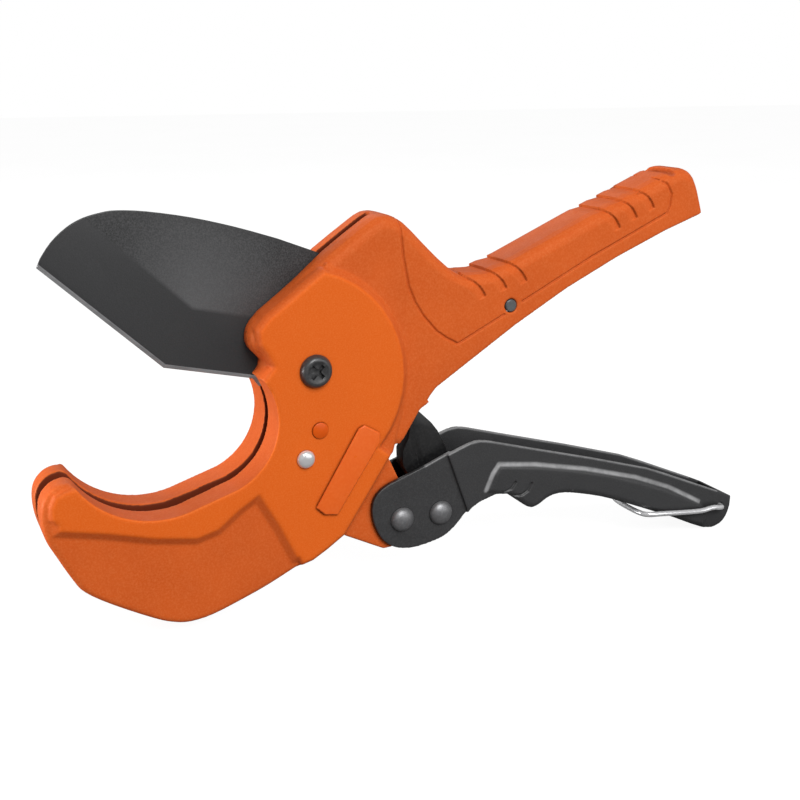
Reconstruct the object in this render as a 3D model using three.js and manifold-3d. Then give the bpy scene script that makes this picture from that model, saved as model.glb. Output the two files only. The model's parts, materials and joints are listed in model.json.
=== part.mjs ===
// Ratchet pipe cutter for plastic pipe up to 64 mm: a one-piece cast frame with a hooked jaw, a swinging
// blade whose tail is a toothed sector, and a lower handle that pushes the sector with a pawl.
//
// Modelling frame, in millimetres: the origin is the blade pivot at mid-thickness, X points from the jaw
// to the handles, Z points up and Y points from the badge side through the tool. The group is moved at
// the end, so that the exported origin is the centre of the whole object's box.
import * as THREE from 'three';
import { mergeVertices } from 'three/addons/utils/BufferGeometryUtils.js';
import Module from 'manifold-3d';

const wasm = await Module();
wasm.setup();

// ---- driving dimensions -------------------------------------------------------------------------
const PIPE_RADIUS = 32;              // largest pipe, 64 mm outside diameter
const THROAT = [-50, -21];           // centre of that pipe against the throat
const HOOK = [-71.6, -16.3];         // centre of the hook's inner arc
const HOOK_RADIUS = 42.8;
const PAD_HALF = 18;                 // half thickness at the raised faces
const HOOK_HALF = 15.5;              // half thickness at the hook's lower panels
const PAD_CENTRE = [-8, -6];         // centre of the raised disc around the blade pivot
const PAD_RADIUS = 51;
const SPINE_HALF = 14.5;             // half thickness of the upper handle and its root
const SLOT_HALF = 2.1;               // half width of the blade slot beside the pivot
const HOOK_SLOT_HALF = 4;            // and in the hook, where it is wider
const BLADE_HALF = 1.75;             // half thickness of the blade
const CAVITY_HALF = 7.2;             // half width of the ratchet chamber
const LUG_HALF = 9.1;                // half width of the lug that carries the lower handle
const PLATE_HALF = 11.8;             // half width over the lower handle's side plates at the lug
const FLANGE_HALF = 13.4;            // half width over its flanges behind the joggle
const PLATE_THICKNESS = 2.3;
const SWEEP_HALF = 12.4;             // half width of the pocket that the side plates swing into
const HANDLE_WALL = 3.6;             // side walls of the upper handle's channel
const GAP = 0.3;                     // running gap between neighbouring pieces
const PIN = 3;                       // radius of the screw, rivets and pins
const BORE = 3.3;                    // radius of the holes they run in
const RIVET_HEAD = 6;
const BUSH_RADIUS = 4;
const BUSH_BORE = 4.3;
const WASHER_RADIUS = 9.5;
const SEAT_RADIUS = 10;              // washer seats beside the blade
const SEAT_HALF = 4.4;
const NUT_RECESS = 7.5;
const NUT_RECESS_DEPTH = 2.8;
const CLEAR = 30;                    // cutting tools reach this far from the mid-plane
const GRIP_HALF = 14.6;              // half width of the lower handle's bulged grip
const LUG_RADIUS = 12.6;             // round end of the frame's lug
const COIL_POCKET = 9.5;             // pocket in the lug for the handle's return spring
const RECESS_RADIUS = 20.8;          // round recess that the side plates turn in
const BAIL_WIRE = 1.5;               // wire radius
const BAIL_LENGTH = 53.6;
const BAIL_GROOVE = [194.5, 80.6];   // groove across the top of the upper handle that the bail drops into
const SPRING_WIRE = 0.65;
const CUTTING_BEVEL = 1.7;           // width of the blade's bright cutting bevel
const BEVEL_HALF = 0.7;              // half thickness where the bevel starts
const EDGE_LAND = 0.1;               // half thickness left at the very edge
const FLANK = 28;                    // width of the ground flank behind it
const EDGE_OVERRUN = 70;             // the grinding planes run this far past the edge's ends

const FULCRUM = [45.4, -81];         // lower handle's pivot rivet
const PAWL_RIVET = [66.4, -81];      // drive pawl's rivet, carried by the lower handle
const HOLD_PIN = [-5.7, -40.8];      // holding pawl's pin
const STOP_PIN = [1.5, -28];         // pin that stops the blade's tail
const ANCHOR_PIN = [102, 20.3];      // spring anchor pin through the upper handle
const BAIL_PIVOT = [242, -106];      // wire bail's ears at the end of the lower handle
const TOOTH_TIP_RADIUS = 60;
const TOOTH_DEPTH = 3;
const TOOTH_COUNT = 8;
const TOOTH_PITCH = 6.25;            // degrees
const FIRST_TOOTH = -77.5;           // degrees, angle of the sector's lower edge with the blade open
const EAR = [30, 30];                // blade's ear that the opening spring pulls on

// ---- materials ----------------------------------------------------------------------------------
const COAT = [0xe2682e, 0.5, 0.0];
const BADGE = [0xee6a22, 0.35, 0.0];
const PAINTED_PIN = [0xd35708, 0.4, 0.0];
const BLACK_COAT = [0x3a3a3a, 0.45, 0.2];
const BLADE_COAT = [0x454545, 0.4, 0.5];
const DARK_STEEL = [0x4a4a4c, 0.35, 0.8];
const CHROME = [0xd8d8d8, 0.12, 1.0];
const SPRING_STEEL = [0xb4b4b0, 0.3, 0.9];

// ---- solids -------------------------------------------------------------------------------------
const radians = (degrees) => (degrees * Math.PI) / 180;
const onCircle = ([x, z], radius, degrees) => [
  x + radius * Math.cos(radians(degrees)),
  z + radius * Math.sin(radians(degrees)),
];

function solidOf(geometry) {
  geometry.deleteAttribute('normal');
  geometry.deleteAttribute('uv');
  const merged = mergeVertices(geometry, 1e-4);
  const corners = merged.index.array;
  const triangles = [];
  for (let i = 0; i < corners.length; i += 3) {
    const [a, b, c] = corners.subarray(i, i + 3);
    if (a !== b && b !== c && c !== a) triangles.push(a, b, c);
  }
  return new wasm.Manifold(new wasm.Mesh({
    numProp: 3,
    vertProperties: new Float32Array(merged.attributes.position.array),
    triVerts: new Uint32Array(triangles),
  }));
}

function geometryOf(solid) {
  const mesh = solid.getMesh();
  const geometry = new THREE.BufferGeometry();
  geometry.setAttribute('position', new THREE.BufferAttribute(mesh.vertProperties, 3));
  geometry.setIndex(new THREE.BufferAttribute(mesh.triVerts, 1));
  return geometry;
}

const join = (...solids) => solids.reduce((whole, solid) => whole.add(solid));
const cut = (whole, ...tools) => tools.reduce((rest, tool) => rest.subtract(tool), whole);

// A closed outline in the XZ plane. An entry is a point [x, z] or an arc { centre, radius, from, to } in
// degrees, which runs clockwise when `to` is less than `from`.
function outline(entries) {
  const shape = new THREE.Shape();
  entries.forEach((entry, index) => {
    if (Array.isArray(entry)) {
      if (index === 0) shape.moveTo(...entry);
      else shape.lineTo(...entry);
      return;
    }
    const { centre, radius, from, to } = entry;
    shape.absarc(...centre, radius, radians(from), radians(to), to < from);
  });
  return shape;
}

// Points of a smooth curve through the given [x, z] points, for a flowing stretch of an outline.
function smooth(points, perSpan = 3) {
  const curve = new THREE.SplineCurve(points.map(([x, z]) => new THREE.Vector2(x, z)));
  return curve.getPoints(perSpan * (points.length - 1)).map(({ x, y }) => [x, y]);
}

// A plate with the given outline between two Y planes, with an optional rounded or bevelled rim.
function plate(entries, yLow, yHigh, { bevel = 0, width = bevel, steps = 2, curve = 6 } = {}) {
  const geometry = new THREE.ExtrudeGeometry(outline(entries), {
    depth: yHigh - yLow - 2 * bevel,
    curveSegments: curve,
    bevelEnabled: bevel > 0,
    bevelThickness: bevel,
    bevelSize: width,
    bevelOffset: -width,
    bevelSegments: steps,
  });
  geometry.rotateX(Math.PI / 2);
  geometry.translate(0, yHigh - bevel, 0);
  return solidOf(geometry);
}

const slab = (entries, half, options) => plate(entries, -half, half, options);
const disc = (centre, radius) => [{ centre, radius, from: 0, to: 360 }];

function rod([x, z], radius, yLow, yHigh, segments = 24) {
  const geometry = new THREE.CylinderGeometry(radius, radius, yHigh - yLow, segments);
  geometry.translate(x, (yLow + yHigh) / 2, z);
  return solidOf(geometry);
}

// A prism along the line between two [x, z] points, run past both ends. Its section lists [across, y],
// where `across` is measured to the right of the line.
function prism(section, from, to, before, after) {
  const along = new THREE.Vector3(to[0] - from[0], 0, to[1] - from[1]);
  const length = along.length();
  along.divideScalar(length);
  const right = new THREE.Vector3(along.z, 0, -along.x);
  const shape = new THREE.Shape(section.map(([across, y]) => new THREE.Vector2(across, y)));
  const geometry = new THREE.ExtrudeGeometry(shape, { depth: length + before + after, bevelEnabled: false });
  geometry.translate(0, 0, -before);
  geometry.applyMatrix4(new THREE.Matrix4().makeBasis(right, new THREE.Vector3(0, 1, 0), along));
  geometry.translate(from[0], 0, from[1]);
  return solidOf(geometry);
}

// A turned piece about a Y axis through [x, z]; the profile lists [radius, y] from axis to axis.
function turned([x, z], profile, segments = 24) {
  const points = profile.map(([radius, y]) => new THREE.Vector2(radius, y));
  const geometry = new THREE.LatheGeometry(points, segments);
  geometry.translate(x, 0, z);
  return solidOf(geometry);
}

// A washer or sleeve about a Y axis through [x, z].
const ring = (centre, inner, outer, yLow, yHigh) =>
  cut(rod(centre, outer, yLow, yHigh), rod(centre, inner, yLow - 1, yHigh + 1));

// Round wire along a curve through 3D points.
function wire(points, radius, { straight = false, steps = 8, sides = 8 } = {}) {
  const vectors = points.map((point) => new THREE.Vector3(...point));
  let path = new THREE.CatmullRomCurve3(vectors, false, 'centripetal');
  if (straight) {
    path = new THREE.CurvePath();
    for (let i = 1; i < vectors.length; i += 1) path.add(new THREE.LineCurve3(vectors[i - 1], vectors[i]));
  }
  const section = new THREE.Shape();
  section.absarc(0, 0, radius, 0, 2 * Math.PI);
  return solidOf(new THREE.ExtrudeGeometry(section, {
    steps: steps * (points.length - 1),
    curveSegments: sides / 2,
    bevelEnabled: false,
    extrudePath: path,
  }));
}

// ---- frame casting ------------------------------------------------------------------------------
// The bodies run past the mouth's surface by MOUTH_STOCK and are trimmed to it, which leaves its rim crisp.
const MOUTH_STOCK = 5;
const mouthArcs = (stock) => [
  { centre: THROAT, radius: PIPE_RADIUS - stock, from: 36, to: -68 },
  { centre: HOOK, radius: HOOK_RADIUS - stock, from: -70.5, to: -147.5 },
];
const noseEdge = [
  [9.8, 51.1], [-5.2, 38.6],
  ...smooth([[-20, 27.5], [-25, 23], [-27.6, 18.5], [-28, 14], [-26.6, 10.4], [-24, 7.4], [-21.8, 5]], 2),
  [-22.4, 1],
];
const handleUnderside = [[62, -16.2], [105, 10.5], [133.7, 26.3], [162.4, 39.6], [191, 51.1], [216, 59.6]];

function hookBody() {
  return slab([
    ...mouthArcs(MOUTH_STOCK),
    ...smooth([[-110, -37.6], [-113, -37.7], [-117.2, -39.4], [-121.2, -44], [-122.6, -51],
      [-121.5, -61], [-117.5, -70], [-111.5, -82], [-107, -88.5], [-96, -96.5], [-78, -107],
      [-69, -110.8], [-61.5, -112], [-51, -110.6], [-36, -105.6], [-24, -101], [-11, -95]]),
    [-2.5, -92.8], [5.5, -88.3], [14.5, -82.5],
    [26, -60], [40, -45], [46, -20], [30, 0], [-14, 0],
  ], HOOK_HALF, { bevel: 2.4, width: 2 });
}

function spineBody() {
  const whole = slab([
    [-18, -8], ...noseEdge.slice().reverse(),
    [18.8, 57.4],
    ...smooth([[28, 63.6], [33.8, 66.7], [40.4, 66.2], [47.4, 62.4], [55.4, 54.6], [65, 45.2],
      [72, 39.8], [80, 36.8], [90, 37.6]], 2),
    [104.9, 42.8], [144.4, 59.8],
    ...smooth([[183.9, 76.1], [191, 79.2], [198.6, 81.5], [204.8, 80.8], [209.4, 76.6], [212.6, 70]], 2),
    [217, 57], [217, 45], [190, 30], [105, -12], [66, -40], [44, -44], [10, -44],
  ], SPINE_HALF, { bevel: 7, width: 5.5, steps: 3 });
  const below = slab([
    [60.2, -25.2], [57.8, -21.4], ...handleUnderside, [240, 70], [240, -60], [40, -60], [42.5, -45],
    [54, -26],
  ], CLEAR);
  const channel = slab([
    [66, -30], [66, 8], [78, 25], [92, 31], [150, 56.5], [190, 72], [200, 71.5], [205, 62], [210, 40],
  ], SPINE_HALF - HANDLE_WALL);
  return cut(whole, below, channel);
}

// Raised faces: the disc around the blade pivot, the upper half of the hook and the strip below it.
function raisedPad() {
  return slab([
    ...mouthArcs(MOUTH_STOCK),
    [-110.5, -38.2], [-113, -38.8], [-117, -40.8], [-119.6, -46], [-119.8, -52], [-115, -58.5],
    [-95, -62.5], [-76, -68], [-57, -71.5], [-48, -69], [-38, -61], [-29, -52.5], [-19.5, -72],
    [-9, -94], [-2.5, -92.3], [5, -88], [14, -82],
    [26, -64], [38.5, -45],
    { centre: PAD_CENTRE, radius: PAD_RADIUS + 2.4, from: -40, to: 76 },
    [-8, 36.4], [-22, 26.2], [-26.5, 20.6], [-25.8, 13.5], [-22.3, 8], [-20.3, 3.6],
  ], PAD_HALF, { bevel: 4, width: 2.4, steps: 2 });
}

// The gentle slopes that run from the raised faces down to the hook's lower panel and to the spine.
function padSlopes() {
  const toPanel = slab([
    [-119.8, -45], [-120, -60.5], [-96.3, -66], [-77.3, -71.5], [-57.4, -75.1], [-46, -72.2],
    [-35.4, -64], [-29.8, -60.5], [-22.7, -73.6], [-13.6, -93], [-5, -92], [6, -80], [0, -42],
    [-40, -40], [-60, -50], [-95, -48],
  ], PAD_HALF, { bevel: 3, width: 5, steps: 1 });
  const toSpine = slab([
    [0, 30], [0, -20], { centre: PAD_CENTRE, radius: PAD_RADIUS + 4.8, from: -38, to: 74 },
  ], PAD_HALF, { bevel: 4.2, width: 4.8, steps: 1, curve: 10 });
  return join(toPanel, toSpine);
}

function lug() {
  return slab([
    [12, -82], [17, -86], [37, -96.3], [41, -96], { centre: FULCRUM, radius: LUG_RADIUS, from: -75, to: 75 },
    [40, -50], [20, -50],
  ], LUG_HALF);
}

// The blade slot: narrow beside the pivot, then wider towards the hook.
function bladeSlot() {
  const side = [
    [-140, -56], [-122, -57], [-112, -64.5], [-103.5, -75.5], [-95, -83], [-80, -87], [-50, -84],
    [-20, -72], [0, -50], [44, -30], [44, 40], [34, 64.5], [34, 90], [-140, 90],
  ];
  const plan = new THREE.Shape([
    [-140, -HOOK_SLOT_HALF], [-64, -HOOK_SLOT_HALF], [-22, -SLOT_HALF],
    [-22, SLOT_HALF], [-64, HOOK_SLOT_HALF], [-140, HOOK_SLOT_HALF],
  ].map(([x, y]) => new THREE.Vector2(x, y)));
  const widening = new THREE.ExtrudeGeometry(plan, { depth: 80, bevelEnabled: false });
  widening.translate(0, 0, -95);
  return join(slab(side, SLOT_HALF), slab(side, CLEAR).intersect(solidOf(widening)));
}

// The cut that slopes one side down from the raised face's lower right edge to the lug.
function slopedPanel(side) {
  const foot = LUG_HALF + 1.4;
  const section = [[-1.5, PAD_HALF + 1], [13, foot], [60, foot], [60, CLEAR], [-1.5, CLEAR]];
  return prism(section.map(([across, y]) => [across, side * y]), [14, -82.5], [39.8, -44.6], 12, 0);
}

function frameCasting() {
  const bladeChamber = slab([
    { centre: [0, 0], radius: TOOTH_TIP_RADIUS + 2.5, from: -66, to: 44 },
    [30, 46], [12, 30], [4, 14], [-10, -14], [-14, -30], [-14, -50], [10, -66],
  ], CAVITY_HALF);
  const holdingChamber = slab([
    [-13, -34], [-16, -52], [-11, -66], [0, -74.5], [18, -76.5], [36, -70], [49, -57], [46, -44],
    [36, -44], [10, -50], [6, -34],
  ], CAVITY_HALF);
  const pawlWay = slab([[50, -30], [67, -30], [70, -6], [62, 0], [50, -10]], CAVITY_HALF - 2);
  const springWay = slab([[36, 20], [60, 12], [92, 12], [92, 32], [60, 40], [36, 42]], CAVITY_HALF - 2);
  const plateSweep = slab([
    [45.6, -57.6], [40, -60], [34, -62.3], [33.4, -50], [38, -38], [47, -20], [58, -14], [66, -18],
    [70, -40], [60, -70],
  ], SWEEP_HALF);
  const opening = slab([
    [41.2, -45.6], [53.8, -25.8], [60, -22], [90, -22], [90, -110], [46.6, -59], [45.8, -57.6],
  ], CLEAR);
  const recess = disc(FULCRUM, RECESS_RADIUS);
  const bailGroove = rod(BAIL_GROOVE, BAIL_WIRE + 1.2, -CLEAR, CLEAR, 16);

  const outer = cut(
    join(hookBody(), spineBody(), raisedPad(), padSlopes()),
    ...[-1, 1].map(slopedPanel), bailGroove,
  );
  const mouth = slab([
    ...mouthArcs(0), [-108.7, -38.4], [-110, -37.7], [-111.5, -37.3], [-111.5, -20], [-60, 10],
  ], CLEAR, { curve: 12 });
  const hollow = cut(
    outer, mouth, bladeSlot(), bladeChamber, holdingChamber, pawlWay, springWay, plateSweep, opening,
    plate(recess, -CLEAR, -LUG_HALF), plate(recess, LUG_HALF, CLEAR),
  );
  const bosses = cut(
    rod([0, 0], SEAT_RADIUS, -CAVITY_HALF - 1, CAVITY_HALF + 1),
    rod([0, 0], SEAT_RADIUS + 2, -SEAT_HALF, SEAT_HALF),
  );
  const washerSeat = rod([0, 0], SEAT_RADIUS, -SEAT_HALF, SEAT_HALF);
  const springPocket = plate(disc(FULCRUM, COIL_POCKET), 1.6, LUG_HALF + 1);
  const legWay = plate([[45.5, -91.2], [70, -93.2], [70, -85.2], [45.5, -85.2]], 5.2, LUG_HALF + 1);
  const lugFront = slab([
    [80, -40], [45, -57], { centre: FULCRUM, radius: LUG_RADIUS, from: 75, to: -75 },
    [60, -110], [90, -100],
  ], LUG_HALF + GAP);
  return cut(
    join(hollow, cut(lug(), holdingChamber), bosses), lugFront, springPocket, legWay, washerSeat,
    rod([0, 0], BUSH_BORE, -CLEAR, CLEAR), rod([0, 0], NUT_RECESS, PAD_HALF - NUT_RECESS_DEPTH, CLEAR),
    ...[FULCRUM, HOLD_PIN, STOP_PIN, ANCHOR_PIN].map((centre) => rod(centre, BORE, -CLEAR, CLEAR)),
  );
}

function badgePlate() {
  return plate([
    [-1.6, -64.7], [2.4, -68.7], [9, -69.8], [30.8, -37.2], [30.6, -32.7], [23, -28], [20, -29.4],
  ], -PAD_HALF - GAP - 1.5, -PAD_HALF - GAP, { bevel: 0.5, steps: 1 });
}

// ---- blade --------------------------------------------------------------------------------------
// The cutting edge is a narrow wedge on both faces, and the tail carries saw-shaped ratchet teeth.
function blade() {
  const teeth = [];
  for (let i = 0; i < TOOTH_COUNT; i += 1) {
    const start = FIRST_TOOTH + i * TOOTH_PITCH;
    teeth.push(onCircle([0, 0], TOOTH_TIP_RADIUS, start));
    teeth.push(onCircle([0, 0], TOOTH_TIP_RADIUS, start + 1.2));
    teeth.push(onCircle([0, 0], TOOTH_TIP_RADIUS - TOOTH_DEPTH, start + TOOTH_PITCH - 0.5));
  }
  const tip = [-113.6, 51.6];
  const corner = [-64, 4.3];
  const heel = [-23.9, -5];
  const body = slab([
    tip, corner, heel, [-21, -9], { centre: [0, 0], radius: 20, from: 207, to: 284 },
    ...teeth, onCircle([0, 0], TOOTH_TIP_RADIUS, FIRST_TOOTH + TOOTH_COUNT * TOOTH_PITCH),
    [44, -16], [37, -2], [35.5, 14], [36.5, 26], { centre: EAR, radius: 5.4, from: -20, to: 95 },
    [20, 44], [7.6, 50.6],
    ...smooth([[-9.5, 57.3], [-28.6, 63.5], [-47.8, 68.6], [-66.8, 72.1], [-79.3, 73.2], [-86, 72.6],
      [-93.6, 70.7], [-100.3, 67.3], [-107, 61.6], [-111.7, 55.4]]),
  ], BLADE_HALF);
  const bore = rod([0, 0], BUSH_BORE, -CLEAR, CLEAR);
  const earHole = rod(EAR, 2.2, -CLEAR, CLEAR, 16);
  return cut(
    body, bore, earHole,
    ...edgeGrinding(corner, tip, EDGE_OVERRUN, EDGE_OVERRUN), ...edgeGrinding(heel, corner, 5, EDGE_OVERRUN),
  );
}

// The grinding that sharpens the blade between two points of its lower edge, on both faces: a short steep
// cutting bevel, then a long shallow flank. The points run so that the blade is on the right.
function edgeGrinding(from, to, before, after) {
  const clear = 12;
  const profile = [
    [-clear, EDGE_LAND], [0, EDGE_LAND], [CUTTING_BEVEL, BEVEL_HALF], [FLANK, BLADE_HALF + 0.002],
    [FLANK, clear], [-clear, clear],
  ];
  return [-1, 1].map((side) => prism(profile.map(([rise, y]) => [rise, side * y]), from, to, before, after));
}

// ---- pivot hardware -----------------------------------------------------------------------------
function pivotScrew() {
  const head = -PAD_HALF - GAP;
  const body = turned([0, 0], [
    [0, head - 3.4], [3.2, head - 3.2], [6, head - 2.2], [7.4, head - 0.9], [7.6, head],
    [3, head], [3, PAD_HALF + 2.6], [0, PAD_HALF + 2.6],
  ], 32);
  const slots = [45, 135].map((degrees) => {
    const geometry = new THREE.BoxGeometry(7.6, 2.6, 1.7);
    geometry.rotateY(-radians(degrees));
    geometry.translate(0, head - 2.6, 0);
    return solidOf(geometry);
  });
  return cut(body, ...slots);
}

const pivotNut = () => cut(rod([0, 0], 6.4, 16.7, 21.2, 6), rod([0, 0], 3.25, 10, 30));

// A pin with a low domed head on the near face and a plain far end.
function headedPin(centre, headRadius, headHeight, farEnd) {
  const face = -PAD_HALF - GAP;
  return turned(centre, [
    [0, face - headHeight], [headRadius * 0.55, face - headHeight * 0.85],
    [headRadius * 0.93, face - headHeight * 0.35], [headRadius, face],
    [PIN, face], [PIN, farEnd], [0, farEnd],
  ]);
}

function rivet(centre) {
  const face = PLATE_HALF + GAP;
  const dome = [[1, 0], [0.94, 1.2], [0.62, 2.8], [0, 3.5]].map(([part, rise]) => [part * RIVET_HEAD, rise]);
  const low = dome.map(([radius, rise]) => [radius, -face - rise]).reverse();
  const high = dome.map(([radius, rise]) => [radius, face + rise]);
  return turned(centre, [...low, [PIN, -face], [PIN, face], ...high]);
}

function retainingClip() {
  const opening = new THREE.BoxGeometry(4, 4, 8);
  opening.translate(HOLD_PIN[0], PAD_HALF + 1, HOLD_PIN[1] - 5);
  return cut(ring(HOLD_PIN, BORE, 5.6, PAD_HALF + GAP, PAD_HALF + GAP + 1), solidOf(opening));
}

// ---- springs ------------------------------------------------------------------------------------
// A torsion spring about a Y axis; its two legs run from the coil's ends to the points legA and legB.
function torsionSpring(centre, coilRadius, wireRadius, yFrom, yTo, angleA, turns, legA, legB) {
  const perTurn = 12;
  const count = Math.round(turns * perTurn);
  const points = [legA];
  for (let i = 0; i <= count; i += 1) {
    const [x, z] = onCircle(centre, coilRadius, angleA + (i * 360) / perTurn);
    points.push([x, yFrom + ((yTo - yFrom) * i) / count, z]);
  }
  points.push(legB);
  return wire(points, wireRadius, { straight: true, steps: 1, sides: 6 });
}

// The long coil that pulls the blade open, from the anchor pin to the blade's ear, with a hook each end.
function bladeSpring() {
  const [ax, az] = ANCHOR_PIN;
  const [bx, bz] = EAR;
  const length = Math.hypot(bx - ax, bz - az);
  const [ux, uz] = [(bx - ax) / length, (bz - az) / length];
  const at = (along, across, y) => [ax + ux * along - uz * across, y, az + uz * along + ux * across];
  const coilRadius = 3.6;
  const perTurn = 10;
  const turns = 13;
  const hookRadius = PIN + SPRING_WIRE + GAP;
  const points = [];
  for (let i = 0; i <= 6; i += 1) {
    const turn = radians(100 + i * 30);
    points.push(at(hookRadius * Math.cos(turn + Math.PI), hookRadius * Math.sin(turn + Math.PI), 0));
  }
  for (let i = 0; i <= turns * perTurn; i += 1) {
    const turn = (2 * Math.PI * i) / perTurn;
    const along = 10 + (length - 20) * (i / (turns * perTurn));
    points.push(at(along, coilRadius * Math.cos(turn), coilRadius * Math.sin(turn)));
  }
  points.push(at(length - 7, 0, 3.2), at(length - 3, 0, 3.6), at(length, 0, 3.4), at(length, 0, -3.4));
  return wire(points, SPRING_WIRE, { straight: true, steps: 1, sides: 6 });
}

// ---- pawls --------------------------------------------------------------------------------------
function drivePawl() {
  const body = slab([
    [49.8, -57], [57.6, -70], { centre: PAWL_RIVET, radius: 6.6, from: 165, to: 400 },
    [74, -62], [74.2, -53], [71.5, -46.6], [68.4, -41], [65, -36.6], [58.4, -30.2], [53.5, -30],
    [53.6, -36], [52.6, -43], [49.6, -49],
  ], 4);
  return cut(body, rod(PAWL_RIVET, BORE, -CLEAR, CLEAR));
}

function holdingPawl() {
  const body = slab([
    { centre: HOLD_PIN, radius: 5.8, from: 20, to: 200 }, [-11, -50], [-7.5, -62], [2, -69.5],
    [16, -71.5], [32, -65], [42.5, -54.5], [42.6, -46.4], [38.5, -50.6], [28, -59],
    [14, -64], [4, -61], [-1, -53],
  ], 2.8);
  return cut(body, rod(HOLD_PIN, BORE, -CLEAR, CLEAR));
}

// ---- lower handle -------------------------------------------------------------------------------
const handleBottom = [
  [97.2, -76],
  ...smooth([[104, -77], [108, -79.6], [113.4, -84.2], [118, -86.6], [122.5, -85.6], [127, -83],
    [132, -81.6], [138, -81.7], [147, -83.6], [161, -87.6], [174, -92.6], [190, -99.3]], 2),
  [210, -107.8], [223, -114], [231, -117.4],
];
const JOGGLE = [[69.2, -50], [80.8, -81.6]];

// A pressed channel: two side plates that straddle the lug, set out wider behind the joggle, the web that
// joins them along the bottom, and a bulged finger grip.
function lowerHandle() {
  const sideOutline = [
    ...smooth([[39.5, -61.9], [34.5, -64.5], [31, -68.4], [29.8, -73.4], [30.3, -79], [32.5, -85.4],
      [36, -91], [41, -94.9], [47, -96.8], [54.4, -97.1], [64, -95.5], [70, -93.4], [75, -89.6]], 2),
    [79.5, -84.8], [83.5, -81], [88, -78.6], ...handleBottom,
    ...smooth([[237.5, -118.5], [243, -117], [246.8, -113.4], [249, -107.4], [249.4, -101.4]], 2),
    [239, -96.7], [203, -81.2], [190, -76], [154, -65], [117, -54.4],
    ...smooth([[93, -47.4], [87.8, -46.4], [82, -46.8], [72, -50.2]], 2), [58.2, -55.6],
  ];
  const ahead = (shift) => slab([
    [0, -130], [0, -30], ...JOGGLE.map(([x, z]) => [x + shift, z]), [84 + shift, -130],
  ], CLEAR);
  const insideOutline = [
    [20, -120], [74, -120], [76.5, -84.5], [86, -76.8], [97, -73.2], [106, -74.3], [115, -80.8],
    [121, -83], [130, -80], [138, -78.8], [150, -81.2], [173, -89], [212, -105.2],
    [236, -114.5], [243, -112], [245.5, -107], [246.5, -40], [20, -40],
  ];
  const grip = slab([
    ...handleBottom, [232.5, -112], [231, -105.5], [227, -101], [212.7, -93.4], [189, -83.2],
    [165.2, -74.6], [141.4, -68.1], [122.5, -63.8], [103.5, -60.6], [98, -60.2], [94.5, -64.5], [91, -74],
  ], GRIP_HALF, { bevel: 2.6, width: 2.2, steps: 2 });
  return cut(
    join(slab(sideOutline, PLATE_HALF), cut(slab(sideOutline, FLANGE_HALF), ahead(0)), grip),
    slab(insideOutline, PLATE_HALF - PLATE_THICKNESS),
    cut(slab(insideOutline, FLANGE_HALF - PLATE_THICKNESS), ahead(2.5)),
    rod(FULCRUM, BORE, -CLEAR, CLEAR), rod(PAWL_RIVET, BORE, -CLEAR, CLEAR),
    rod(BAIL_PIVOT, BAIL_WIRE + GAP, -CLEAR, CLEAR, 16),
  );
}

// Wire loop hinged in the lower handle's end; it swings round to hold the two handles together.
function lockBail() {
  const [x, z] = BAIL_PIVOT;
  const side = GRIP_HALF + GAP + 0.4 + BAIL_WIRE;
  const reach = x - BAIL_LENGTH;
  const low = z + 3.8;
  return wire([
    [x, -FLANGE_HALF + PLATE_THICKNESS + 1, z], [x, -side + 1, z], [x - 1.5, -side, z],
    [x - 8, -side, z + 1.4], [x - 14, -side, z + 0.6], [reach + 8, -side, low],
    [reach + 2, -side + 1.5, low], [reach, -side + 6, low], [reach, side - 6, low],
    [reach + 2, side - 1.5, low], [reach + 8, side, low], [x - 14, side, z + 0.6],
    [x - 8, side, z + 1.4], [x - 1.5, side, z], [x, side - 1, z],
    [x, FLANGE_HALF - PLATE_THICKNESS - 1, z],
  ], BAIL_WIRE, { steps: 3, sides: 8 });
}

// ---- assembly -----------------------------------------------------------------------------------
const tool = new THREE.Group();
function addPiece(name, solid, [color, roughness, metalness]) {
  const material = new THREE.MeshStandardMaterial({ color, roughness, metalness });
  const mesh = new THREE.Mesh(geometryOf(solid), material);
  mesh.name = name;
  tool.add(mesh);
}

addPiece('frame_casting', frameCasting(), COAT);
addPiece('badge_plate', badgePlate(), BADGE);
addPiece('blade', blade(), BLADE_COAT);
addPiece('pivot_screw', pivotScrew(), DARK_STEEL);
addPiece('pivot_bush', ring([0, 0], BORE, BUSH_RADIUS, -PAD_HALF + 1, PAD_HALF - 3), SPRING_STEEL);
const bladeWasher = (yLow, yHigh) => ring([0, 0], BUSH_BORE, WASHER_RADIUS, yLow, yHigh);
addPiece('blade_washer_near', bladeWasher(GAP - SEAT_HALF, -BLADE_HALF - GAP), DARK_STEEL);
addPiece('blade_washer_far', bladeWasher(BLADE_HALF + GAP, SEAT_HALF - GAP), DARK_STEEL);
addPiece('pivot_nut_washer', ring([0, 0], BORE, 7.1, 15.5, 16.4), DARK_STEEL);
addPiece('pivot_nut', pivotNut(), DARK_STEEL);
addPiece('stop_pin', headedPin(STOP_PIN, 3.8, 0.7, PAD_HALF), PAINTED_PIN);
addPiece('anchor_pin', rod(ANCHOR_PIN, PIN, -SPINE_HALF - 0.4, SPINE_HALF + 0.4), DARK_STEEL);
addPiece('blade_return_spring', bladeSpring(), SPRING_STEEL);
addPiece('holding_pawl', holdingPawl(), BLACK_COAT);
addPiece('holding_pawl_pin', headedPin(HOLD_PIN, 4.3, 2.2, PAD_HALF + 2.4), CHROME);
addPiece('holding_pawl_spacer', ring(HOLD_PIN, BORE, 5, -6.9, -3.1), DARK_STEEL);
addPiece('holding_pawl_spring', torsionSpring(
  HOLD_PIN, 4.5, 0.55, 3.8, 6.2, 120, 2.25, [-4.2, 3.8, -31], [-4, 6.2, -60],
), SPRING_STEEL);
addPiece('holding_pin_clip', retainingClip(), DARK_STEEL);
addPiece('lower_handle', lowerHandle(), BLACK_COAT);
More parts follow.
